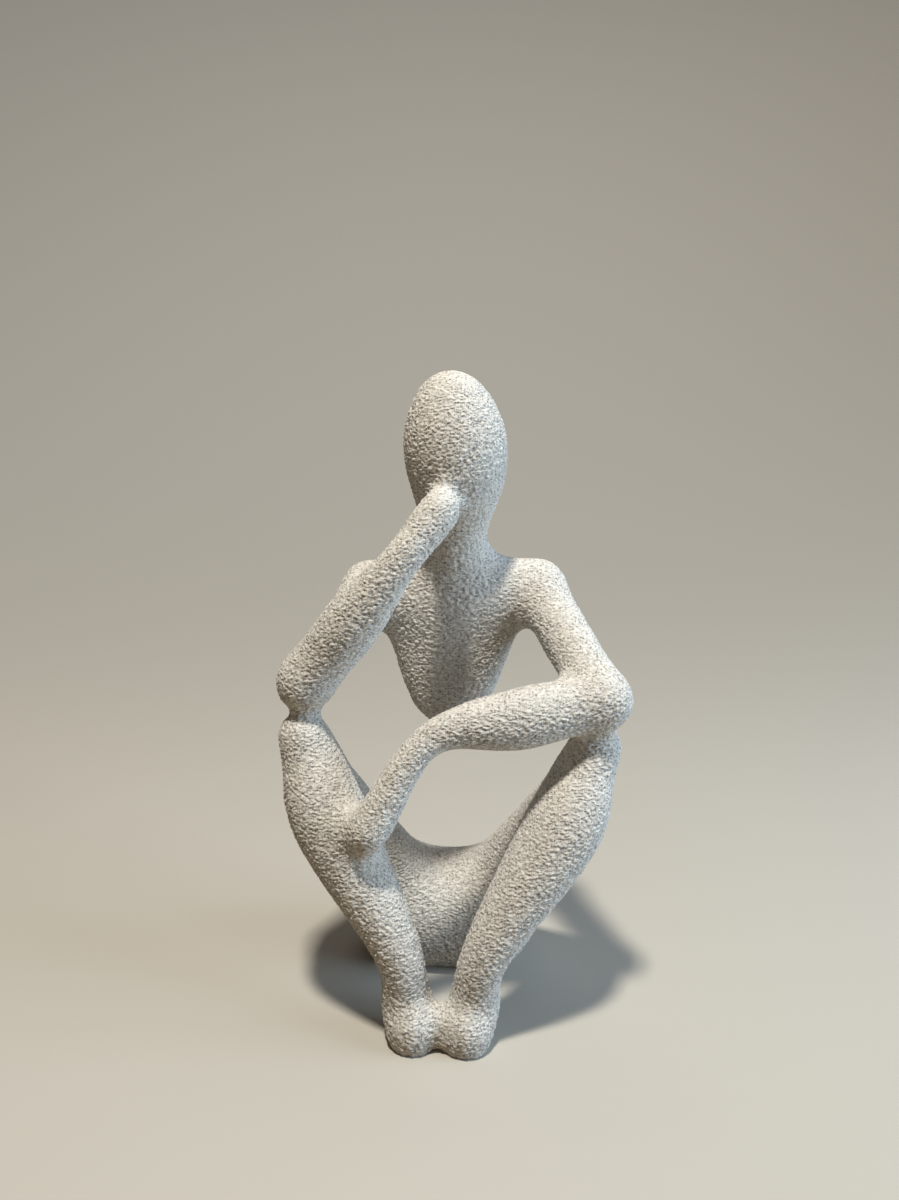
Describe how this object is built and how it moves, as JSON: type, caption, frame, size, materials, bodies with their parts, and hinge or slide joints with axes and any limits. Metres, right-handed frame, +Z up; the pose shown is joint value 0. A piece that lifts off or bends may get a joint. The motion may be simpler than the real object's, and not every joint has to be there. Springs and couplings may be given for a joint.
{
  "type": "meditating figure sculpture",
  "caption": "Faceless seated figure with drawn-up knees, elbows on the knees, one hand at the face and the other on the shin, printed in rough stone-effect plastic as a shelf ornament.",
  "frame": {"origin": "on the ground, under the middle of the figure's bounding box", "axes": "+Z up, the figure faces -Y, and +X is the figure's left"},
  "size_m": [0.1334, 0.0986, 0.2504],
  "materials": {
    "stone_print": "off-white stone-effect filament with fine grey flecks, matte, sandy printed skin",
    "plain_print": "off-white filament, matte, smooth printed walls"
  },
  "bodies": {
    "root": {"head": "stone_print", "torso": "stone_print", "right_upper_arm": "stone_print", "right_forearm": "stone_print", "left_upper_arm": "stone_print", "left_forearm": "stone_print", "pelvis": "stone_print", "right_thigh": "stone_print", "right_shin": "stone_print", "left_thigh": "stone_print", "left_shin": "stone_print", "neck_dowel": "plain_print", "right_shoulder_dowel": "plain_print", "left_shoulder_dowel": "plain_print", "right_elbow_dowel": "plain_print", "left_elbow_dowel": "plain_print", "right_hip_dowel": "plain_print", "left_hip_dowel": "plain_print", "right_knee_dowel": "plain_print", "left_knee_dowel": "plain_print", "right_elbow_rest_pin": "plain_print", "left_elbow_rest_pin": "plain_print", "right_hand_pin": "plain_print", "left_hand_pin": "plain_print", "foot_pin": "plain_print"}
  },
  "joints": []
}
